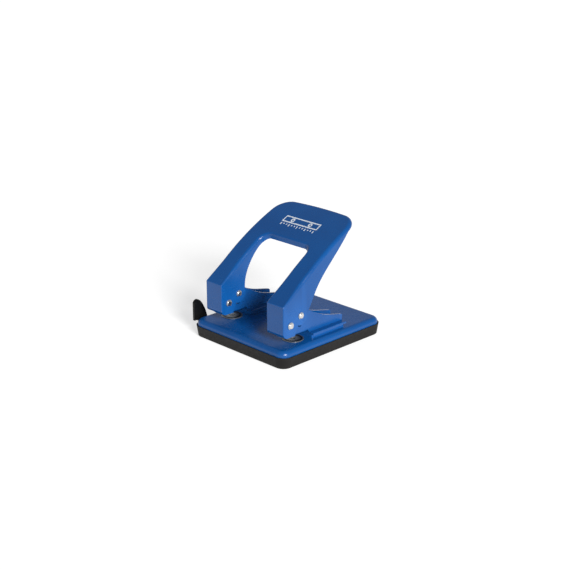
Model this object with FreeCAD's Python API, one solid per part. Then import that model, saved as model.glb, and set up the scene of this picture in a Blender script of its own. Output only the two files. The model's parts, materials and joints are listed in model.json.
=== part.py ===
import FreeCAD, Part
import math
import os

# Two-hole desk punch. Millimetres, +Z up, +Y from the paper side to the handle side, +X to the right.
# The origin is the middle of the flat underside that the punch stands on.

V = FreeCAD.Vector

# ---- driving dimensions -------------------------------------------------------------------------
HOLE_SPACING = 80.0  # centre to centre of the two punched holes, the office standard
HOLE_R = 2.75  # radius of a punched hole
STOP_DEPTH = 12.0  # hole centre to paper edge, the office standard
HANDLE_TRAVEL = 38.0  # degrees that the handle turns when pressed

# base plate: a pressed steel sheet with a rolled edge
PLATE_HALF_X = 59.2
PLATE_HALF_Y = 64.0
PLATE_TOP = 16.4
PLATE_LOW = 10.4
PLATE_SHEET = 1.2
PLATE_CORNER = 9.0
PLATE_ROLL = 4.6

# chip tray: a moulded shell that clips under the plate
TRAY_GROW = 1.2  # how far the tray's rim stands out past the plate's edge
TRAY_TAPER = 1.6  # how far the tray narrows from rim to floor, each side
TRAY_RIM = 10.8
TRAY_WALL = 2.0
TRAY_FLOOR = 1.8
TRAY_FOOT_R = 1.4
TRAY_LEDGE = 10.3
TRAY_GAP = 0.3

# punch heads
HEAD_X = HOLE_SPACING / 2
HEAD_HALF = 10.5  # half the width of a head, over the handle's walls
PUNCH_Y = -33.4
PIVOT = (-46.6, 34.8)  # (y, z) of the handle's pivot pin
DRIVE_R = 14.0  # pivot pin to drive pin
DRIVE_ANGLE = 26.7  # degrees above the horizontal, handle up
PIVOT_PIN_R = 2.5
DRIVE_PIN_R = 2.3
PIN_HALF = 12.0
RUNNING = 0.05

# handle: a pressed steel yoke
HANDLE_HALF = HEAD_X + HEAD_HALF
HANDLE_SHEET = 1.4
NOSE_Y = -55.3
NOSE_TOP = 53.8
NOSE_LOW = 29.1
ARM_SLOPE = 37.2
ARM_END_Y = -31.0  # the straight arms turn into the curved grip here
GRIP_R = 320.0
GRIP_REAR_Y = 44.8
GRIP_REAR_HALF = 47.2  # half the grip's width at its rear edge
GRIP_CROWN = 2.4
GRIP_CORNER = 18.0
RIM_DEPTH = 3.4
WINDOW_HALF = HEAD_X - HEAD_HALF
WINDOW_TOP_Y = 0.2
WINDOW_CORNER = 8.0
WALL_LOW = 24.0
LOBE_R = 9.0  # the walls' lobe round the drive pin
# rear edges (y, z) of the arms' outer and inner walls, from the lobe up, and the y where the rim takes over
OUTER_EDGE = ((-23.6, 44.9), (-20.5, 50.2), (-16.4, 57.4), (-8.5, 68.4), (0.1, 77.2), (13.8, 89.8))
OUTER_RIM_Y = 28.0
INNER_EDGE = ((-26.0, 51.5), (-23.0, 61.2), (-18.0, 69.8), (-10.2, 78.8), (-2.1, 85.5))
INNER_RIM_Y = 2.0

# bracket: the steel cheeks that hold a head
CHEEK_OUT = 8.2  # head centre to the cheek's outer face
CHEEK_SHEET = 1.8
WEB_LOW = 23.2
WEB_SHEET = 1.8
LIP_R = 17.8  # the web's round front edge, about the punch
FOOT_TOP = 21.7
FOOT_SHEET = 1.8
FOOT_HALF = 14.0
TAIL_Y = 21.6
SLOT_CLEAR = 0.2

# die and guide bush
DIE_TOP = 17.0
DIE_LOW = 12.6
DIE_RIM_R = 10.0
DIE_BODY_R = 8.4
BUSH_R = 3.5
BUSH_TOP = 26.2
BUSH_FLANGE_R = 5.4
BUSH_LOW = 22.4

# rivets that hold a bracket down, and the clips on the pins
STOP_Y = PUNCH_Y + STOP_DEPTH
RIVET_R = 1.6
RIVET_HEAD_R = 3.0
RIVET_DOME_R = 3.6
RIVET_YS = (-12.0, 12.0)
CLIP_AT = HEAD_HALF + 0.15
CLIP_SHEET = 0.6
CLIP_RIM = 0.8  # how far a clip stands out past its pin
GROOVE_CUT = 0.45

# punch
PUNCH_TIP = 23.0
PUNCH_HEAD_R = 4.8
PUNCH_HEAD_LOW = 37.3
PUNCH_HEAD_TOP = 45.3
SPRING_R = 4.1
SPRING_WIRE = 0.4
SPRING_TURNS = 4
SPRING_GAP = 0.05  # from an end turn to the web or the punch's head

# paper guide
GUIDE_Y = -52.4
GUIDE_HALF_Y = 5.4
GUIDE_LOW = 12.2
GUIDE_TOP = 14.2
GUIDE_RIGHT = 46.0
GUIDE_TRAVEL = 86.5
GUIDE_NOTCHES = (-48.0, -5.0, 26.0, 38.5)
FIN_OUT = -64.4
FIN_IN = -62.0
LUG = 2.0  # length of the lug that stops the bar against the outer rail
LUG_HALF = 3.0
RAIL_HALF = 5.0
RAIL_XS = (GUIDE_RIGHT - LUG - GUIDE_TRAVEL - RAIL_HALF - 0.1, 0.0)

DRIVE = (
    PIVOT[0] + DRIVE_R * math.cos(math.radians(DRIVE_ANGLE)),
    PIVOT[1] + DRIVE_R * math.sin(math.radians(DRIVE_ANGLE)),
)
HEADS = (("left", -HEAD_X), ("right", HEAD_X))
CHIN_R = NOSE_LOW - WALL_LOW  # the nose turns under along a quarter circle
CHIN = (NOSE_Y + CHIN_R, NOSE_LOW)
ARM_TAN = math.tan(math.radians(ARM_SLOPE))
ARM_END_Z = NOSE_TOP + (ARM_END_Y - NOSE_Y) * ARM_TAN
GRIP_CENTRE = (
    ARM_END_Y + GRIP_R * math.sin(math.radians(ARM_SLOPE)),
    ARM_END_Z - GRIP_R * math.cos(math.radians(ARM_SLOPE)),
)


# ---- shape helpers ------------------------------------------------------------------------------
def cyl_x(radius, x0, x1, centre):
    """A cylinder along X about (y, z)."""
    return Part.makeCylinder(radius, x1 - x0, V(x0, centre[0], centre[1]), V(1, 0, 0))


def cyl_z(radius, z0, z1, x, y):
    """An upright cylinder."""
    return Part.makeCylinder(radius, z1 - z0, V(x, y, z0), V(0, 0, 1))


def box(x0, x1, y0, y1, z0, z1):
    """A box between two corners."""
    return Part.makeBox(x1 - x0, y1 - y0, z1 - z0, V(x0, y0, z0))


def fuse(shapes):
    """One solid from several that touch or overlap."""
    return shapes[0].multiFuse(shapes[1:]).removeSplitter()


def rounded_rect(half_x, half_y, radius, z, x=0.0, y=0.0):
    """A closed wire: a rectangle with round corners, at height z."""
    corners = ((1, -1), (1, 1), (-1, 1), (-1, -1))
    edges = []
    ends = []
    for i, (sx, sy) in enumerate(corners):
        centre = V(x + sx * (half_x - radius), y + sy * (half_y - radius), z)
        start = math.radians(-90 + 90 * i)
        points = []
        for share in (0, 0.5, 1):
            angle = start + share * math.pi / 2
            points.append(centre + V(math.cos(angle), math.sin(angle), 0) * radius)
        edges.append(Part.Arc(*points).toShape())
        ends.append((points[0], points[2]))
    for i in range(4):
        edges.append(Part.LineSegment(ends[i][1], ends[(i + 1) % 4][0]).toShape())
    return Part.Wire(Part.__sortEdges__(edges))


def side_outline(steps):
    """Edges in the YZ plane from steps such as ("line", p), ("arc", through, p) or ("curve", p, p, ...)."""
    here = None
    edges = []
    for step in steps:
        points = [V(0, y, z) for y, z in step[1:]]
        if here is None:
            here = points[0]
            continue
        if step[0] == "line":
            edges.append(Part.LineSegment(here, points[0]).toShape())
        elif step[0] == "arc":
            edges.append(Part.Arc(here, points[0], points[1]).toShape())
        else:
            curve = Part.BSplineCurve()
            curve.interpolate([here] + points)
            edges.append(curve.toShape())
        here = points[-1]
    return edges


def side_prism(steps, x0, x1):
    """A solid with a side outline in the YZ plane, from x0 to x1."""
    face = Part.Face(Part.Wire(side_outline(steps)))
    face.translate(V(x0, 0, 0))
    return face.extrude(V(x1 - x0, 0, 0))


def about(centre, radius, degrees):
    """The point (y, z) at an angle round a centre."""
    angle = math.radians(degrees)
    return (centre[0] + radius * math.cos(angle), centre[1] + radius * math.sin(angle))


def fillet(shape, radii):
    """Rounds edges; radii is a list of (edge number from 1, radius at its start, radius at its end)."""
    doc = FreeCAD.newDocument()
    base = doc.addObject("Part::Feature", "base")
    base.Shape = shape
    rounded = doc.addObject("Part::Fillet", "rounded")
    rounded.Base = base
    rounded.Edges = radii
    doc.recompute()
    result = rounded.Shape.copy()
    FreeCAD.closeDocument(doc.Name)
    return result


# ---- base ---------------------------------------------------------------------------------------
def pressed_tray(half_x, half_y, corner, low, top, roll):
    """A block with round corners and a rolled top edge."""
    outline = Part.Face(rounded_rect(half_x, half_y, corner, low))
    block = outline.extrude(V(0, 0, top - low))
    edges = [e for e in block.Edges if all(abs(v.Z - top) < 1e-6 for v in e.Vertexes)]
    return block.makeFillet(roll, edges)


def base_plate():
    """The steel sheet that everything stands on, with its rolled skirt."""
    outer = pressed_tray(PLATE_HALF_X, PLATE_HALF_Y, PLATE_CORNER, PLATE_LOW, PLATE_TOP, PLATE_ROLL)
    inner = pressed_tray(
        PLATE_HALF_X - PLATE_SHEET,
        PLATE_HALF_Y - PLATE_SHEET,
        PLATE_CORNER - PLATE_SHEET,
        PLATE_LOW - 5,
        PLATE_TOP - PLATE_SHEET,
        PLATE_ROLL - PLATE_SHEET,
    )
    plate = outer.cut(inner)
    cuts = []
    for _, x in HEADS:
        cuts.append(cyl_z(DIE_BODY_R, PLATE_LOW, PLATE_TOP + 1, x, PUNCH_Y))
        for y in RIVET_YS:
            cuts.append(cyl_z(RIVET_R, PLATE_LOW, PLATE_TOP + 1, x, y))
    slot_half = GUIDE_HALF_Y + 0.5
    cuts.append(
        box(
            -PLATE_HALF_X - 1,
            -PLATE_HALF_X + 6,
            GUIDE_Y - slot_half,
            GUIDE_Y + slot_half,
            GUIDE_LOW - 0.5,
            GUIDE_TOP + 0.5,
        )
    )
    cuts.append(centre_mark())
    return plate.cut(Part.makeCompound(cuts))


def centre_mark():
    """A shallow arrow pressed into the plate's front edge, for lining up the middle of the paper."""
    y0 = -PLATE_HALF_Y + PLATE_ROLL + 1.0
    points = [V(-1.6, y0 + 3.2, 0), V(1.6, y0 + 3.2, 0), V(0, y0, 0), V(-1.6, y0 + 3.2, 0)]
    face = Part.Face(Part.makePolygon(points))
    face.translate(V(0, 0, PLATE_TOP - 0.3))
    return face.extrude(V(0, 0, 1))


def chip_tray():
    """The moulded tray that closes the underside and catches the chips."""
    half_x = PLATE_HALF_X + TRAY_GROW
    half_y = PLATE_HALF_Y + TRAY_GROW
    corner = PLATE_CORNER + TRAY_GROW

    def tapered(inset, low, high, taper_low, taper_high):
        wires = [
            rounded_rect(half_x - inset - t, half_y - inset - t, corner - inset - t, z)
            for z, t in ((low, taper_low), (high, taper_high))
        ]
        return Part.makeLoft(wires, True, True)

    body = tapered(0, 0, TRAY_RIM, TRAY_TAPER, 0)
    foot = [e for e in body.Edges if all(v.Z < 1e-6 for v in e.Vertexes)]
    body = body.makeFillet(TRAY_FOOT_R, foot)
    well = tapered(TRAY_WALL, TRAY_FLOOR, TRAY_RIM + 1, TRAY_TAPER * 0.85, 0)
    lip = TRAY_GROW - TRAY_GAP
    seat = Part.Face(rounded_rect(half_x - lip, half_y - lip, corner - lip, TRAY_LEDGE))
    body = body.cut(well).cut(seat.extrude(V(0, 0, 2)))
    tabs = []
    tab_x = PLATE_HALF_X - PLATE_SHEET - TRAY_GAP
    tab_y = PLATE_HALF_Y - PLATE_SHEET - TRAY_GAP
    root = 1.9
    for sign in (-1, 1):
        for x in (-34, 34):
            ys = sorted((sign * (tab_y - root), sign * tab_y))
            tabs.append(box(x - 7, x + 7, ys[0], ys[1], 4.0, 12.0))
        ys = (18, 32)
        xs = sorted((sign * (tab_x - root), sign * tab_x))
        tabs.append(box(xs[0], xs[1], ys[0], ys[1], 4.0, 12.0))
    return fuse([body] + tabs)


# ---- head fittings fixed to the base ------------------------------------------------------------

def die(x):
    """The hardened steel disc under a punch: a rim on the plate and a body through it."""
    rim = cyl_z(DIE_RIM_R, PLATE_TOP, DIE_TOP, x, PUNCH_Y)
    rim = rim.makeChamfer(0.35, [rim.Edges[0]])
    body = cyl_z(DIE_BODY_R, DIE_LOW, PLATE_TOP + 0.1, x, PUNCH_Y)
    bore = cyl_z(HOLE_R + 2 * RUNNING, DIE_LOW - 1, DIE_TOP + 1, x, PUNCH_Y)
    relief = cyl_z(HOLE_R + 1.0, DIE_LOW - 1, DIE_TOP - 2.4, x, PUNCH_Y)
    groove = cyl_z(DIE_RIM_R - 1.9, DIE_TOP - 0.25, DIE_TOP + 1, x, PUNCH_Y).cut(
        cyl_z(DIE_RIM_R - 2.9, DIE_TOP - 1, DIE_TOP + 2, x, PUNCH_Y)
    )
    return fuse([rim, body]).cut(Part.makeCompound([bore, relief])).cut(groove)


def cheek_outline():
    """Side outline of a bracket's cheek."""
    nose_r = 6.3
    front = about(PIVOT, nose_r, 215)
    return (
        ("start", (STOP_Y - 1.0, WEB_LOW)),
        ("line", (-49.0, WEB_LOW)),
        ("arc", (-50.2, WEB_LOW + 0.5), (-50.7, WEB_LOW + 1.7)),
        ("line", front),
        ("arc", about(PIVOT, nose_r, 165), about(PIVOT, nose_r, 112)),
        ("curve", (-43.8, 44.2), (-38.5, 46.9), (-33.5, 46.9)),
        ("curve", (-27.0, 44.6), (-20.7, 41.6), (-13.7, 38.0), (-0.8, 32.6), (12.4, 29.3), (20.6, 27.4)),
        ("arc", (TAIL_Y - 0.3, 26.8), (TAIL_Y, 26.2)),
        ("line", (TAIL_Y, FOOT_TOP)),
        ("line", (STOP_Y, FOOT_TOP)),
        ("line", (STOP_Y - 1.0, WEB_LOW)),
    )


def drive_slot(x0, x1):
    """The curved slot that the drive pin runs along, about the pivot pin."""
    half = DRIVE_PIN_R + SLOT_CLEAR
    middle = DRIVE_ANGLE - HANDLE_TRAVEL / 2
    low = DRIVE_ANGLE - HANDLE_TRAVEL
    inner = DRIVE_R - half
    outer = DRIVE_R + half
    steps = (
        ("start", about(PIVOT, outer, low)),
        ("arc", about(PIVOT, outer, middle), about(PIVOT, outer, DRIVE_ANGLE)),
        ("line", about(PIVOT, inner, DRIVE_ANGLE)),
        ("arc", about(PIVOT, inner, middle), about(PIVOT, inner, low)),
        ("line", about(PIVOT, outer, low)),
    )
    ends = [cyl_x(half, x0, x1, about(PIVOT, DRIVE_R, a)) for a in (low, DRIVE_ANGLE)]
    return fuse([side_prism(steps, x0, x1)] + ends)


def bend_waste(x, sign):
    """What lies outside the round bend between a bracket's web and a cheek."""
    bend = 1.4
    xs = sorted((x + sign * (CHEEK_OUT + 1), x + sign * (CHEEK_OUT - bend)))
    strip = box(xs[0], xs[1], -60, STOP_Y - 1.0, WEB_LOW - 1, WEB_LOW + bend)
    centre = V(x + sign * (CHEEK_OUT - bend), -61, WEB_LOW + bend)
    return strip.cut(Part.makeCylinder(bend, 60, centre, V(0, 1, 0)))


def bracket(x):
    """Two cheeks joined under the head by a web that the punch runs through."""
    inner = CHEEK_OUT - CHEEK_SHEET
    spans = ((-CHEEK_OUT, -inner), (inner, CHEEK_OUT))
    cheeks = [side_prism(cheek_outline(), x + low, x + high) for low, high in spans]
    web = box(x - CHEEK_OUT, x + CHEEK_OUT, -49.0, STOP_Y - 1.0, WEB_LOW, WEB_LOW + WEB_SHEET)
    lip = cyl_z(LIP_R, WEB_LOW, WEB_LOW + WEB_SHEET, x, PUNCH_Y)
    lip = lip.common(box(x - inner, x + inner, PUNCH_Y - LIP_R - 1, -49.0, WEB_LOW, WEB_LOW + WEB_SHEET))
    body = fuse(cheeks + [web, lip])
    cuts = [
        cyl_x(PIVOT_PIN_R, x - 20, x + 20, PIVOT),
        drive_slot(x - 20, x + 20),
        cyl_z(BUSH_R, WEB_LOW - 1, WEB_LOW + 4, x, PUNCH_Y),
    ]
    for cut in cuts + [bend_waste(x, sign) for sign in (-1, 1)]:
        body = body.cut(cut)
    return body


def foot_plate(x):
    """The flat plate that a bracket's cheeks are welded to."""
    half_y = (TAIL_Y - STOP_Y) / 2
    wire = rounded_rect(FOOT_HALF, half_y, 0.8, FOOT_TOP - FOOT_SHEET, x, (TAIL_Y + STOP_Y) / 2)
    plate = Part.Face(wire).extrude(V(0, 0, FOOT_SHEET))
    top = [e for e in plate.Edges if e.BoundBox.ZMin > FOOT_TOP - 1e-6]
    plate = plate.makeFillet(0.5, top)
    holes = [cyl_z(RIVET_R, 0, 40, x, y) for y in RIVET_YS]
    return plate.cut(Part.makeCompound(holes))


def spacer(x):
    """The block under a foot plate. Its front end is the paper stop."""
    inset = 1.6
    half_y = (TAIL_Y - STOP_Y) / 2 - inset / 2
    middle = (TAIL_Y + STOP_Y) / 2 - inset / 2
    wire = rounded_rect(FOOT_HALF - inset, half_y, 1.5, PLATE_TOP, x, middle)
    block = Part.Face(wire).extrude(V(0, 0, FOOT_TOP - FOOT_SHEET - PLATE_TOP))
    holes = [cyl_z(RIVET_R, 0, 40, x, y) for y in RIVET_YS]
    return block.cut(Part.makeCompound(holes))


def rivet(x, y):
    """A rivet through foot plate, spacer and base plate, with a domed head above and a turned head below."""
    shank = cyl_z(RIVET_R, PLATE_TOP - PLATE_SHEET, FOOT_TOP, x, y)
    dome = Part.makeSphere(RIVET_DOME_R, V(x, y, FOOT_TOP + 1.4 - RIVET_DOME_R))
    dome = dome.common(cyl_z(RIVET_HEAD_R, FOOT_TOP, FOOT_TOP + 3, x, y))
    tail = cyl_z(RIVET_HEAD_R - 0.4, PLATE_TOP - PLATE_SHEET - 0.9, PLATE_TOP - PLATE_SHEET, x, y)
    return fuse([shank, dome, tail])


def guide_bush(x):
    """The flanged bush that keeps a punch upright in the web."""
    body = cyl_z(BUSH_R, WEB_LOW - 0.1, BUSH_TOP, x, PUNCH_Y)
    flange = cyl_z(BUSH_FLANGE_R, BUSH_LOW, WEB_LOW, x, PUNCH_Y)
    flange = flange.makeChamfer(0.3, [e for e in flange.Edges if e.BoundBox.ZMax < BUSH_LOW + 1e-6])
    return fuse([body, flange]).cut(cyl_z(HOLE_R + RUNNING, BUSH_LOW - 1, BUSH_TOP + 1, x, PUNCH_Y))


# ---- pins and their clips -----------------------------------------------------------------------

def pin(x, centre, radius):
    """A cross pin with rounded ends and a groove near each end for its clip."""
    body = cyl_x(radius, x - PIN_HALF, x + PIN_HALF, centre)
    body = body.makeFillet(0.5, [e for e in body.Edges if e.BoundBox.XLength < 1e-6])
    grooves = []
    for sign in (-1, 1):
        xs = sorted((x + sign * CLIP_AT, x + sign * (CLIP_AT + CLIP_SHEET)))
        ring = cyl_x(radius + 1, xs[0], xs[1], centre)
        grooves.append(ring.cut(cyl_x(radius - GROOVE_CUT, xs[0], xs[1], centre)))
    return body.cut(Part.makeCompound(grooves))


def clip(x, sign, centre, radius):
    """An open retaining ring in a pin's groove; sign is the side of the head that it is on."""
    xs = sorted((x + sign * CLIP_AT, x + sign * (CLIP_AT + CLIP_SHEET)))
    ring = cyl_x(radius + CLIP_RIM, xs[0], xs[1], centre)
    ring = ring.cut(cyl_x(radius - GROOVE_CUT, xs[0], xs[1], centre))
    mouth = box(xs[0], xs[1], centre[0] - 1.3, centre[0] + 1.3, centre[1] - radius - 3, centre[1])
    return ring.cut(mouth)


def clips(centre, radius):
    """The four clips of a pair of pins."""
    return Part.makeCompound([clip(x, sign, centre, radius) for _, x in HEADS for sign in (-1, 1)])


# ---- punches ------------------------------------------------------------------------------------
def punch(x):
    """A hardened punch with a hollow-ground tip and a slotted head for the drive pin."""
    rod = cyl_z(HOLE_R, PUNCH_TIP, PUNCH_HEAD_LOW + 0.1, x, PUNCH_Y)
    head = cyl_z(PUNCH_HEAD_R, PUNCH_HEAD_LOW, PUNCH_HEAD_TOP, x, PUNCH_Y)
    head = head.makeChamfer(0.4, [e for e in head.Edges if e.BoundBox.ZMin > PUNCH_HEAD_TOP - 1e-6])
    half_z = DRIVE_PIN_R + SLOT_CLEAR
    reach = DRIVE_R * (1 - math.cos(math.radians(DRIVE_ANGLE))) / 2 + 0.15
    slot = [cyl_x(half_z, x - 9, x + 9, (PUNCH_Y + sign * reach, DRIVE[1])) for sign in (-1, 1)]
    slot.append(box(x - 9, x + 9, PUNCH_Y - reach, PUNCH_Y + reach, DRIVE[1] - half_z, DRIVE[1] + half_z))
    hollow_r = 3.4
    hollow = cyl_x(hollow_r, x - 9, x + 9, (PUNCH_Y, PUNCH_TIP - hollow_r + 0.9))
    return fuse([rod, head]).cut(fuse(slot)).cut(hollow)


def return_spring(x):
    """The coil that lifts a punch and the handle, built of half turns that each rise across the coil."""
    low = WEB_LOW + WEB_SHEET + SPRING_WIRE + SPRING_GAP
    height = PUNCH_HEAD_LOW - SPRING_WIRE - SPRING_GAP - low
    rise = height / (2 * SPRING_TURNS)
    tilt = math.degrees(math.atan2(rise / 2, SPRING_R))
    turn_r = math.hypot(SPRING_R, rise / 2)
    halves = []
    for i in range(2 * SPRING_TURNS):
        half = Part.makeTorus(turn_r, SPRING_WIRE, V(0, 0, 0), V(0, 0, 1), 0, 360, 180)
        half.rotate(V(0, 0, 0), V(0, 0, 1), 180 * (i % 2))
        half.rotate(V(0, 0, 0), V(0, 1, 0), tilt * (-1) ** i)
        half.translate(V(x, PUNCH_Y, low + (i + 0.5) * rise))
        halves.append(half)
    return halves[0].multiFuse(halves[1:])


# ---- handle -------------------------------------------------------------------------------------

def grip_z(y, inset):
    """Height of the curved grip's surface, inset below the outer skin."""
    return GRIP_CENTRE[1] + math.sqrt((GRIP_R - inset) ** 2 - (y - GRIP_CENTRE[0]) ** 2)


def top_z(y, inset):
    """Height of the handle's top surface at y, inset below the outer skin."""
    join = GRIP_CENTRE[0] - (GRIP_R - inset) * math.sin(math.radians(ARM_SLOPE))
    if y > join:
        return grip_z(y, inset)
    return grip_z(join, inset) - (join - y) * ARM_TAN


def handle_block(inset):
    """The handle's outer form, set in by inset, solid down to below the heads."""
    half = HANDLE_HALF - inset
    nose = NOSE_Y + inset
    rear = GRIP_REAR_Y - inset
    low = 10.0
    join = GRIP_CENTRE[0] - (GRIP_R - inset) * math.sin(math.radians(ARM_SLOPE))
    middle = (join + rear) / 2
    side = (
        ("start", (nose, low)),
        ("line", (nose, top_z(nose, inset))),
        ("line", (join, top_z(join, inset))),
        ("arc", (middle, grip_z(middle, inset)), (rear + 2, grip_z(rear + 2, inset))),
        ("line", (rear + 2, low)),
        ("line", (nose, low)),
    )
    block = side_prism(side, -half - 1, half + 1)
    shoulder = rear - GRIP_CROWN
    rear_half = GRIP_REAR_HALF - inset
    waist = (ARM_END_Y + shoulder) / 2
    waist_half = half - (half - rear_half) / 4
    edges = [
        Part.LineSegment(V(-half, ARM_END_Y, 0), V(-half, -80, 0)).toShape(),
        Part.LineSegment(V(-half, -80, 0), V(half, -80, 0)).toShape(),
        Part.LineSegment(V(half, -80, 0), V(half, ARM_END_Y, 0)).toShape(),
        Part.Arc(V(half, ARM_END_Y, 0), V(waist_half, waist, 0), V(rear_half, shoulder, 0)).toShape(),
        Part.Arc(V(rear_half, shoulder, 0), V(0, rear, 0), V(-rear_half, shoulder, 0)).toShape(),
        Part.Arc(V(-rear_half, shoulder, 0), V(-waist_half, waist, 0), V(-half, ARM_END_Y, 0)).toShape(),
    ]
    plan = Part.Face(Part.Wire(edges)).extrude(V(0, 0, 130))
    upright = [e for e in plan.Edges if e.BoundBox.ZLength > 100 and e.CenterOfMass.y > 0]
    plan = plan.makeFillet(GRIP_CORNER - inset, upright)
    return block.common(plan).cut(window(inset)).removeSplitter()


def window(inset):
    """The gap between the arms, open at the front, with round corners under the grip."""
    half = WINDOW_HALF + inset
    top = WINDOW_TOP_Y + inset
    corner = WINDOW_CORNER + inset
    gap = box(-half, half, -90, top, 0, 130)
    upright = [e for e in gap.Edges if e.BoundBox.ZLength > 100 and e.CenterOfMass.y > 0]
    return gap.makeFillet(corner, upright)


def rounded_handle(inset, nose_r, arm_r):
    """The handle block with its skin edges rounded, less and less down the arms."""
    block = handle_block(inset)
    nose = NOSE_Y + inset
    radii = []
    for index, edge in enumerate(block.Edges, 1):
        bounds = edge.BoundBox
        on_top = all(abs(v.Z - top_z(v.Y, inset)) < 1e-3 for v in edge.Vertexes)
        upright = bounds.ZLength > 20 and bounds.YLength < 1e-3
        across = bounds.YLength < 1e-3 and bounds.ZLength < 1e-3
        at_nose = bounds.YMax < nose + 1e-3
        inside = max(abs(bounds.XMin), abs(bounds.XMax)) < WINDOW_HALF + inset + 1e-3
        if at_nose and (upright or (across and on_top)):
            ends = (nose_r, nose_r)
        elif not on_top or (across and not inside):
            continue
        elif bounds.YMin < nose + 1e-3:
            ends = [nose_r if edge.valueAt(t).y < nose + 1e-3 else arm_r for t in edge.ParameterRange]
            if inside and bounds.XMin > 0:
                ends.reverse()  # the window's edge is one chain, from the left nose to the right nose
        else:
            ends = (arm_r, arm_r)
        if all(ends):
            radii.append((index,) + tuple(ends))
    return fillet(block, radii)


def trim(upper, first, x0, x1):
    """What is cut away below and behind a handle wall: upper is its rear edge above the lobe, first where
    the rim begins."""
    rim_r = GRIP_R - RIM_DEPTH
    far = 70.0

    def rim(y):
        return (y, GRIP_CENTRE[1] + math.sqrt(rim_r**2 - (y - GRIP_CENTRE[0]) ** 2))

    steps = (
        ("start", (-70.0, 5.0)),
        ("line", (-70.0, NOSE_LOW)),
        ("line", (NOSE_Y, NOSE_LOW)),
        ("arc", about(CHIN, CHIN_R, 225), (CHIN[0], WALL_LOW)),
        ("line", (DRIVE[0] - 7.0, WALL_LOW)),
        ("line", about(DRIVE, LOBE_R, -115)),
        ("arc", about(DRIVE, LOBE_R, -60), about(DRIVE, LOBE_R, -12)),
        ("curve",) + upper + (rim(first),),
        ("arc", rim((first + far) / 2), rim(far)),
        ("line", (far, 5.0)),
        ("line", (-70.0, 5.0)),
    )
    return side_prism(steps, x0, x1)


def chin(x):
    """The front wall's lower edge, turned back under the nose."""
    end = 232
    middle = (180 + end) / 2
    inner = CHIN_R - HANDLE_SHEET
    steps = (
        ("start", about(CHIN, CHIN_R, 180)),
        ("arc", about(CHIN, CHIN_R, middle), about(CHIN, CHIN_R, end)),
        ("line", about(CHIN, inner, end)),
        ("arc", about(CHIN, inner, middle), about(CHIN, inner, 180)),
        ("line", about(CHIN, CHIN_R, 180)),
    )
    half = HEAD_HALF - HANDLE_SHEET / 2
    return side_prism(steps, x - half, x + half)


def handle():
    """The yoke: two arms that end in the heads, and the curved grip that joins them."""
    outer = rounded_handle(0.0, 1.0, 3.2)
    inner = rounded_handle(HANDLE_SHEET, 0.4, 1.8)
    skin = outer.cut(inner)
    split = HEAD_X - 4.0
    cuts = [
        trim(INNER_EDGE, INNER_RIM_Y, -split, split),
        trim(OUTER_EDGE, OUTER_RIM_Y, split, HANDLE_HALF + 2),
        trim(OUTER_EDGE, OUTER_RIM_Y, -HANDLE_HALF - 2, -split),
    ]
    for _, x in HEADS:
        half = HEAD_HALF - HANDLE_SHEET
        cuts.append(box(x - half, x + half, NOSE_Y - 1, NOSE_Y + HANDLE_SHEET + 0.5, 5.0, NOSE_LOW))
        cuts.append(cyl_x(PIVOT_PIN_R + RUNNING, x - 12, x + 12, PIVOT))
        cuts.append(cyl_x(DRIVE_PIN_R, x - 12, x + 12, DRIVE))
    for cut in cuts:
        skin = skin.cut(cut)
    return fuse([skin] + [chin(x) for _, x in HEADS])


# ---- paper guide --------------------------------------------------------------------------------
def paper_guide():
    """The sliding bar under the plate, with the upright fin that stops the paper's side edge."""
    bar = box(FIN_IN - 1.0, GUIDE_RIGHT, GUIDE_Y - GUIDE_HALF_Y, GUIDE_Y + GUIDE_HALF_Y, GUIDE_LOW, GUIDE_TOP)
    fin_steps = (
        ("start", (-60.4, 12.2)),
        ("line", (-60.4, 28.6)),
        ("curve", (-59.2, 31.2), (-56.2, 32.2), (-53.0, 30.4), (-50.0, 26.2), (-46.8, 19.6), (-45.0, 13.6)),
        ("line", (-44.9, 12.2)),
        ("line", (-60.4, 12.2)),
    )
    fin = side_prism(fin_steps, FIN_OUT, FIN_IN)
    lug_ys = (GUIDE_Y - LUG_HALF, GUIDE_Y + LUG_HALF)
    lug = box(GUIDE_RIGHT - LUG, GUIDE_RIGHT, *lug_ys, GUIDE_LOW - 0.9, GUIDE_LOW + 0.1)
    notches = []
    for x in GUIDE_NOTCHES:
        notches.append(cyl_z(0.8, GUIDE_LOW - 1, GUIDE_TOP + 1, x, GUIDE_Y + GUIDE_HALF_Y + 0.3))
    return fuse([bar, fin, lug]).cut(Part.makeCompound(notches))


def guide_rail(x, lug_passes):
    """A loop under the base plate that the guide's bar slides through, split below where the lug passes."""
    clear = 0.25
    wall = 1.2
    half_y = GUIDE_HALF_Y + clear
    top = PLATE_TOP - PLATE_SHEET
    low = GUIDE_LOW - clear - 0.6
    block = box(x - RAIL_HALF, x + RAIL_HALF, GUIDE_Y - half_y - wall, GUIDE_Y + half_y + wall, low, top)
    tunnel = box(x - 9, x + 9, GUIDE_Y - half_y, GUIDE_Y + half_y, GUIDE_LOW - clear, GUIDE_TOP + clear)
    if lug_passes:
        half_gap = LUG_HALF + clear
        tunnel = tunnel.fuse(box(x - 9, x + 9, GUIDE_Y - half_gap, GUIDE_Y + half_gap, low - 1, GUIDE_LOW))
    return block.cut(tunnel)


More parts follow.
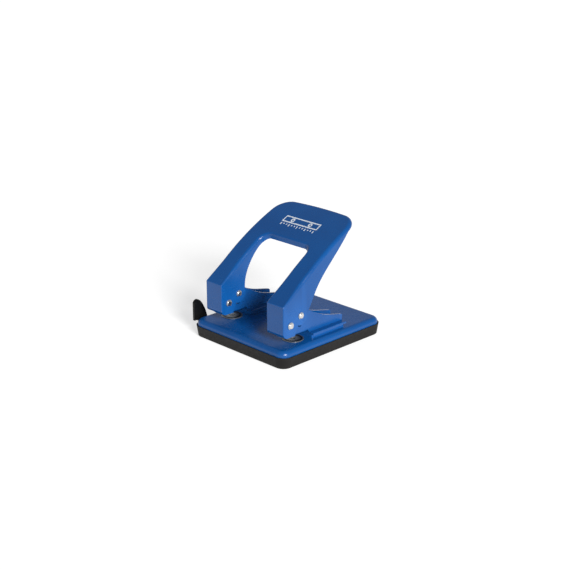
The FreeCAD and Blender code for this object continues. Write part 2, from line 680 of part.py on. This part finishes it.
# ---- write the parts ----------------------------------------------------------------------------
def all_parts():
    """Every sub-part by name."""
    parts = {
        "base_plate": base_plate(),
        "chip_tray": chip_tray(),
        "handle": handle(),
        "paper_guide": paper_guide(),
        "pivot_pin_clips": clips(PIVOT, PIVOT_PIN_R),
        "drive_pin_clips": clips(DRIVE, DRIVE_PIN_R),
        "bracket_rivets": Part.makeCompound([rivet(x, y) for _, x in HEADS for y in RIVET_YS]),
    }
    for side, x in HEADS:
        parts["die_" + side] = die(x)
        parts["bracket_" + side] = bracket(x)
        parts["foot_plate_" + side] = foot_plate(x)
        parts["paper_stop_" + side] = spacer(x)
        parts["guide_bush_" + side] = guide_bush(x)
        parts["pivot_pin_" + side] = pin(x, PIVOT, PIVOT_PIN_R)
        parts["drive_pin_" + side] = pin(x, DRIVE, DRIVE_PIN_R)
        parts["punch_" + side] = punch(x)
        parts["return_spring_" + side] = return_spring(x)
    parts["guide_rail_outer"] = guide_rail(RAIL_XS[0], False)
    parts["guide_rail_middle"] = guide_rail(RAIL_XS[1], True)
    return parts


def main():
    os.makedirs("parts", exist_ok=True)
    for name, shape in sorted(all_parts().items()):
        solids = shape.Solids
        valid = all(s.isValid() and s.isClosed() for s in solids)
        print(name, len(solids), "solids", "valid" if valid else "INVALID", round(shape.Volume), "mm3")
        shape.exportStep("parts/" + name + ".step")


main()
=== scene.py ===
import json
import math

import bmesh
import bpy
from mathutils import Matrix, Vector


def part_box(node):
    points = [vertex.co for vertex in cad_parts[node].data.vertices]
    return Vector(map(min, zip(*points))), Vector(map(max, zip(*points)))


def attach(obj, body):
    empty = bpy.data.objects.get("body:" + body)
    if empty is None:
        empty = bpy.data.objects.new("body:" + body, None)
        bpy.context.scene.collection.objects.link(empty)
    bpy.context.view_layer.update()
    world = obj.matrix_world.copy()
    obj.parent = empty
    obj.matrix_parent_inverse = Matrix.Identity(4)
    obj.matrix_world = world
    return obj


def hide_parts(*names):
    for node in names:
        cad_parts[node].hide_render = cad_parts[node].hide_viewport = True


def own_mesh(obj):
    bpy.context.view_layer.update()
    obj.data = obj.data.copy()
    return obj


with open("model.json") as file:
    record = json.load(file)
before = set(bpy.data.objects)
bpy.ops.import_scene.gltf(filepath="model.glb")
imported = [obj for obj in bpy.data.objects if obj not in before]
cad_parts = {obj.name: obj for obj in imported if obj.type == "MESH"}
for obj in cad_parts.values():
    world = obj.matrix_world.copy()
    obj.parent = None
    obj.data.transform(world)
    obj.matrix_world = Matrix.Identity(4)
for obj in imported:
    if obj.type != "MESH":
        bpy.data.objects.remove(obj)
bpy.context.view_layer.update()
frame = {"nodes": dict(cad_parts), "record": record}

NODES = frame["nodes"]
MM = 0.001
SIDES = ("left", "right")


# ---- material building blocks ---------------------------------------------------------------------
class Graph:
    """A material's node tree, with short calls for the nodes that the finishes share."""

    def __init__(self, name):
        self.material = bpy.data.materials.new(name)
        self.material.use_nodes = True
        self.tree = self.material.node_tree
        self.shader = self.tree.nodes["Principled BSDF"]
        self.place = self.add("ShaderNodeTexCoord").outputs["Object"]

    def add(self, kind, **settings):
        """A new node with its settings."""
        node = self.tree.nodes.new(kind)
        for key, value in settings.items():
            setattr(node, key, value)
        return node

    def link(self, start, end):
        """Joins two sockets."""
        self.tree.links.new(start, end)

    def noise(self, scale, detail=3.0, roughness=0.55, stretch=None):
        """Noise in metres; stretch squeezes it along the axes."""
        node = self.add("ShaderNodeTexNoise")
        node.inputs["Scale"].default_value = scale
        node.inputs["Detail"].default_value = detail
        node.inputs["Roughness"].default_value = roughness
        place = self.place
        if stretch:
            mapping = self.add("ShaderNodeMapping")
            mapping.inputs["Scale"].default_value = stretch
            self.link(self.place, mapping.inputs["Vector"])
            place = mapping.outputs["Vector"]
        self.link(place, node.inputs["Vector"])
        return node.outputs["Fac"]

    def ramp(self, factor, low, high, start=0.3, end=0.7):
        """A value or colour that runs from low to high as factor goes from start to end."""
        if isinstance(low, tuple):
            node = self.add("ShaderNodeValToRGB")
            node.color_ramp.elements[0].position = start
            node.color_ramp.elements[0].color = (*low, 1.0)
            node.color_ramp.elements[1].position = end
            node.color_ramp.elements[1].color = (*high, 1.0)
            self.link(factor, node.inputs["Fac"])
            return node.outputs["Color"]
        node = self.add("ShaderNodeMapRange")
        for socket, value in (("From Min", start), ("From Max", end), ("To Min", low), ("To Max", high)):
            node.inputs[socket].default_value = value
        self.link(factor, node.inputs["Value"])
        return node.outputs["Result"]

    def mix(self, factor, first, second):
        """A colour socket that turns to a fixed second colour as factor goes from 0 to 1."""
        node = self.add("ShaderNodeMix", data_type="RGBA")
        self.link(factor, node.inputs["Factor"])
        self.link(first, node.inputs[6])
        node.inputs[7].default_value = (*second, 1.0)
        return node.outputs[2]

    def edges(self, low, high):
        """1 on sharp outer edges, 0 elsewhere."""
        point = self.add("ShaderNodeNewGeometry").outputs["Pointiness"]
        return self.ramp(point, 0.0, 1.0, low, high)

    def bump(self, height, strength, distance):
        """Bumps the surface; a second call adds to the first."""
        node = self.add("ShaderNodeBump")
        node.inputs["Strength"].default_value = strength
        node.inputs["Distance"].default_value = distance
        self.link(height, node.inputs["Height"])
        earlier = self.shader.inputs["Normal"].links
        if earlier:
            self.link(earlier[0].from_socket, node.inputs["Normal"])
        self.link(node.outputs["Normal"], self.shader.inputs["Normal"])

    def set(self, **values):
        """Constant values on the shader's own sockets."""
        for key, value in values.items():
            self.shader.inputs[key.replace("_", " ")].default_value = value


def enamel(name, colour, deep):
    """Stove enamel on pressed steel: slight orange peel, uneven gloss, faint handling marks, and lighter
    enamel on sharp edges: a painted highlight along the bends, with some rubbing wear.
    """
    g = Graph(name)
    base = g.ramp(g.noise(28.0, 2.0), deep, colour, 0.32, 0.68)
    # lighter enamel on sharp edges and bends: painted highlight, with some rubbing wear
    rubbed_and_highlight = tuple(c * 1.5 + 0.006 for c in colour)
    g.link(g.mix(g.edges(0.54, 0.70), base, rubbed_and_highlight), g.shader.inputs["Base Color"])
    smears = g.noise(140.0, 5.0, 0.6, (1.0, 0.35, 1.0))
    g.link(g.ramp(smears, 0.20, 0.34, 0.35, 0.75), g.shader.inputs["Roughness"])
    g.set(IOR=1.42)
    g.bump(g.noise(700.0, 2.0), 0.05, 0.0002)
    g.bump(g.noise(2200.0, 2.0), 0.03, 0.0001)
    return g.material


def plastic(name, colour, worn, rough, grain):
    """Moulded plastic with a fine spark-eroded grain."""
    g = Graph(name)
    base = g.ramp(g.noise(60.0, 4.0), colour, worn, 0.35, 0.8)
    edge = tuple(min(1.0, c * 1.8 + 0.01) for c in worn)
    g.link(g.mix(g.edges(0.55, 0.75), base, edge), g.shader.inputs["Base Color"])
    g.link(g.ramp(g.noise(420.0, 4.0), rough - 0.07, rough + 0.09), g.shader.inputs["Roughness"])
    g.set(Specular_IOR_Level=0.22)
    g.bump(g.noise(grain, 3.0, 0.7), 0.28, 0.00012)
    return g.material


def steel(name, dark, light, rough, stretch, marks):
    """Worked steel: fine marks along one direction and darker patches."""
    g = Graph(name)
    g.link(g.ramp(g.noise(350.0, 4.0), dark, light, 0.3, 0.7), g.shader.inputs["Base Color"])
    lines = g.noise(marks, 2.0, 0.5, stretch)
    g.link(g.ramp(lines, rough - 0.07, rough + 0.10), g.shader.inputs["Roughness"])
    g.set(Metallic=1.0)
    g.bump(lines, 0.12, 0.00005)
    return g.material


def black_oxide(name):
    """Blackened steel, oily and dark, worn to bright metal on its sharp edges."""
    g = Graph(name)
    base = g.ramp(g.noise(300.0, 4.0), (0.006, 0.016, 0.034), (0.014, 0.030, 0.056), 0.3, 0.7)
    worn = g.mix(g.edges(0.53, 0.62), base, (0.46, 0.50, 0.54))
    g.link(worn, g.shader.inputs["Base Color"])
    g.link(g.ramp(g.noise(700.0, 4.0), 0.26, 0.44), g.shader.inputs["Roughness"])
    g.set(Metallic=0.85)
    g.bump(g.noise(1500.0, 3.0), 0.10, 0.00006)
    return g.material


MATERIALS = {
    "blue_enamel": enamel("blue_enamel", (0.0010, 0.060, 0.225), (0.0010, 0.051, 0.198)),
    # blue_enamel_inner is the same enamel made a little darker for the inner faces: painted shade
    "blue_enamel_inner": enamel("blue_enamel_inner", (0.0010, 0.057, 0.215), (0.0010, 0.048, 0.188)),
    "tray_plastic": plastic("tray_plastic", (0.0040, 0.0035, 0.0032), (0.0075, 0.0066, 0.0060), 0.58, 2600.0),
    "guide_plastic": plastic(
        "guide_plastic", (0.0010, 0.0010, 0.0010), (0.0022, 0.0022, 0.0022), 0.45, 3600.0
    ),
    "hardened_steel": steel(
        "hardened_steel", (0.34, 0.34, 0.36), (0.47, 0.47, 0.48), 0.30, (1, 1, 0.05), 3000.0
    ),
    "bright_steel": steel("bright_steel", (0.66, 0.64, 0.61), (0.80, 0.78, 0.75), 0.26, (0.1, 1, 1), 2500.0),
    "black_oxide_steel": black_oxide("black_oxide_steel"),
    "spring_steel": steel("spring_steel", (0.30, 0.30, 0.31), (0.46, 0.46, 0.47), 0.28, None, 2400.0),
}

for entry in frame["record"]["subparts"]:
    for slot in NODES[entry["node"]].material_slots:
        slot.material = MATERIALS[entry["material_slot"]]


# ---- printed mark on the grip ---------------------------------------------------------------------
INK_LIFT = 0.04 * MM
MARK_SHIFT = 1.5 * MM  # the mark sits a little left of the middle
MARK_FROM_REAR = 25.5 * MM
MARK_LINE = 1.2 * MM
MARK_SHEET = (44 * MM, 7.4 * MM)
MARK_HOLE = (0.9 * MM, 2.2 * MM)
TICK_WIDTH = 1.1 * MM
TICK_GAP = 1.4 * MM
TICKS_EACH_SIDE = 6
LONG_TICK = 2.6 * MM
SHORT_TICK = 1.5 * MM


def skin_points(node, places):
    """The highest point of a node's skin, and its normal, above each (x, y)."""
    target = NODES[node]
    found = []
    for x, y in places:
        hit, point, normal, _ = target.ray_cast(Vector((x, y, 1.0)), Vector((0, 0, -1)))
        if not hit:
            raise ValueError("the mark runs off the grip")
        found.append((point, normal))
    return found


def ink_points(bm, places):
    """Mesh points for the ink film, just above the grip's enamel."""
    return [bm.verts.new(point + normal * INK_LIFT) for point, normal in skin_points("handle", places)]


def band(bm, centre, size, steps=14):
    """A thin printed bar on the grip: centre and size in metres."""
    across = 4
    places = []
    for i in range(steps + 1):
        for j in range(across + 1):
            u = (i / steps - 0.5) * size[0]
            v = (j / across - 0.5) * size[1]
            places.append((centre[0] + u, centre[1] + v))
    verts = ink_points(bm, places)
    for i in range(steps):
        for j in range(across):
            a = i * (across + 1) + j
            bm.faces.new((verts[a], verts[a + across + 1], verts[a + across + 2], verts[a + 1]))


def ring(bm, centre, inner, outer):
    """A printed ring on the grip."""
    steps = 28
    places = []
    for i in range(steps):
        angle = 2 * math.pi * i / steps
        for radius in (inner, outer):
            places.append((centre[0] + radius * math.cos(angle), centre[1] + radius * math.sin(angle)))
    verts = ink_points(bm, places)
    for i in range(steps):
        a = 2 * i
        b = (a + 2) % (2 * steps)
        bm.faces.new((verts[a], verts[a + 1], verts[b + 1], verts[b]))


def ink():
    """White pad-printing ink, a little uneven and worn."""
    g = Graph("print_ink")
    g.link(g.ramp(g.noise(900.0, 4.0), (0.44, 0.50, 0.58), (0.66, 0.70, 0.74)), g.shader.inputs["Base Color"])
    g.link(g.ramp(g.noise(500.0, 3.0), 0.40, 0.58), g.shader.inputs["Roughness"])
    g.bump(g.noise(1800.0, 3.0), 0.15, 0.00004)
    return g.material


def printed_mark():
    """A plain pictogram: a sheet of paper with its two punched holes, and a rule of ticks below it."""
    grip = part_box("handle")
    middle = (grip[0][0] + grip[1][0]) / 2 - MARK_SHIFT
    top = grip[1][1] - MARK_FROM_REAR
    width, height = MARK_SHEET
    bm = bmesh.new()
    for sign in (-1, 1):
        band(bm, (middle, top + sign * (height - MARK_LINE) / 2), (width, MARK_LINE))
        upright = (MARK_LINE, height - 2 * MARK_LINE)
        band(bm, (middle + sign * (width - MARK_LINE) / 2, top), upright, steps=2)
        ring(bm, (middle + sign * width / 4, top), *MARK_HOLE)
    pitch = width / (2 * TICKS_EACH_SIDE + 1)
    for i in range(-TICKS_EACH_SIDE, TICKS_EACH_SIDE + 1):
        length = LONG_TICK if i % 3 == 0 else SHORT_TICK
        centre = (middle + i * pitch, top - height / 2 - TICK_GAP - length / 2)
        band(bm, centre, (TICK_WIDTH, length), steps=2)
    mesh = bpy.data.meshes.new("printed_mark")
    bm.to_mesh(mesh)
    bm.free()
    mesh.materials.append(ink())
    mark = bpy.data.objects.new("printed_mark", mesh)
    bpy.context.scene.collection.objects.link(mark)
    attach(mark, "handle")


printed_mark()


# ---- return springs as meshes of their own, carried by the base -----------------------------------
def live_spring(side):
    """The return spring's own copy of its mesh, carried by the base in place of the imported part."""
    node = NODES["return_spring_" + side]
    coil = bpy.data.objects.new("coil_" + side, node.data.copy())
    bpy.context.scene.collection.objects.link(coil)
    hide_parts(node.name)
    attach(coil, "base")
    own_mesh(coil)


for side in SIDES:
    live_spring(side)


# ---- floor, light and camera ----------------------------------------------------------------------
FLOOR_HALF = 60.0
FLOOR_GLOW = 0.60
HORIZON = (0.10, 0.90)  # height of the direction, and the room's grey up to there
ZENITH = (0.34, 0.28)  # the same from there up
KEY_AZIMUTH = 70
KEY_ELEVATION = 24
KEY_SOFTNESS = 20
KEY_POWER = 4.6


def studio():
    """A lit pale table in a room that is bright near the horizon, with one soft low light."""
    mesh = bpy.data.meshes.new("floor")
    corners = [(-FLOOR_HALF, -FLOOR_HALF, 0), (FLOOR_HALF, -FLOOR_HALF, 0)]
    corners += [(FLOOR_HALF, FLOOR_HALF, 0), (-FLOOR_HALF, FLOOR_HALF, 0)]
    mesh.from_pydata(corners, [], [(0, 1, 2, 3)])
    floor = bpy.data.objects.new("floor", mesh)
    bpy.context.scene.collection.objects.link(floor)
    g = Graph("floor_acrylic")
    g.link(g.ramp(g.noise(3.0, 2.0), (0.49, 0.49, 0.49), (0.51, 0.51, 0.51)), g.shader.inputs["Base Color"])
    g.set(Roughness=0.9, Specular_IOR_Level=0.0, Emission_Color=(1, 1, 1, 1), Emission_Strength=FLOOR_GLOW)
    mesh.materials.append(g.material)

    world = bpy.data.worlds.new("studio")
    bpy.context.scene.world = world
    world.use_nodes = True
    tree = world.node_tree
    direction = tree.nodes.new("ShaderNodeTexCoord")
    split = tree.nodes.new("ShaderNodeSeparateXYZ")
    fade = tree.nodes.new("ShaderNodeValToRGB")
    for stop, (height, grey) in zip(fade.color_ramp.elements, (HORIZON, ZENITH)):
        stop.position = height
        stop.color = (grey, grey, grey, 1.0)
    tree.links.new(direction.outputs["Generated"], split.inputs["Vector"])
    tree.links.new(split.outputs["Z"], fade.inputs["Fac"])
    tree.links.new(fade.outputs["Color"], tree.nodes["Background"].inputs["Color"])

    light = bpy.data.lights.new("key_light", "SUN")
    light.angle = math.radians(KEY_SOFTNESS)
    light.energy = KEY_POWER
    lamp = bpy.data.objects.new("key_light", light)
    lamp.rotation_euler = (math.radians(90 - KEY_ELEVATION), 0, math.radians(KEY_AZIMUTH))
    bpy.context.scene.collection.objects.link(lamp)


CAMERA_PLACE = (0.72356, -0.71639, 0.41194)
CAMERA_AZIMUTH = 45.43
CAMERA_ELEVATION = 19.66
CAMERA_LENS = 74.33


def camera():
    """The view from the front right, a little above."""
    data = bpy.data.cameras.new("camera")
    data.lens = CAMERA_LENS
    data.sensor_width = 36.0
    data.clip_end = 20.0
    eye = bpy.data.objects.new("camera", data)
    eye.location = CAMERA_PLACE
    eye.rotation_euler = (math.radians(90 - CAMERA_ELEVATION), 0, math.radians(CAMERA_AZIMUTH))
    bpy.context.scene.collection.objects.link(eye)
    bpy.context.scene.camera = eye


studio()
camera()
bpy.context.scene.view_settings.view_transform = "Standard"

# ---- last update of the scene ---------------------------------------------------------------------
bpy.context.view_layer.update()
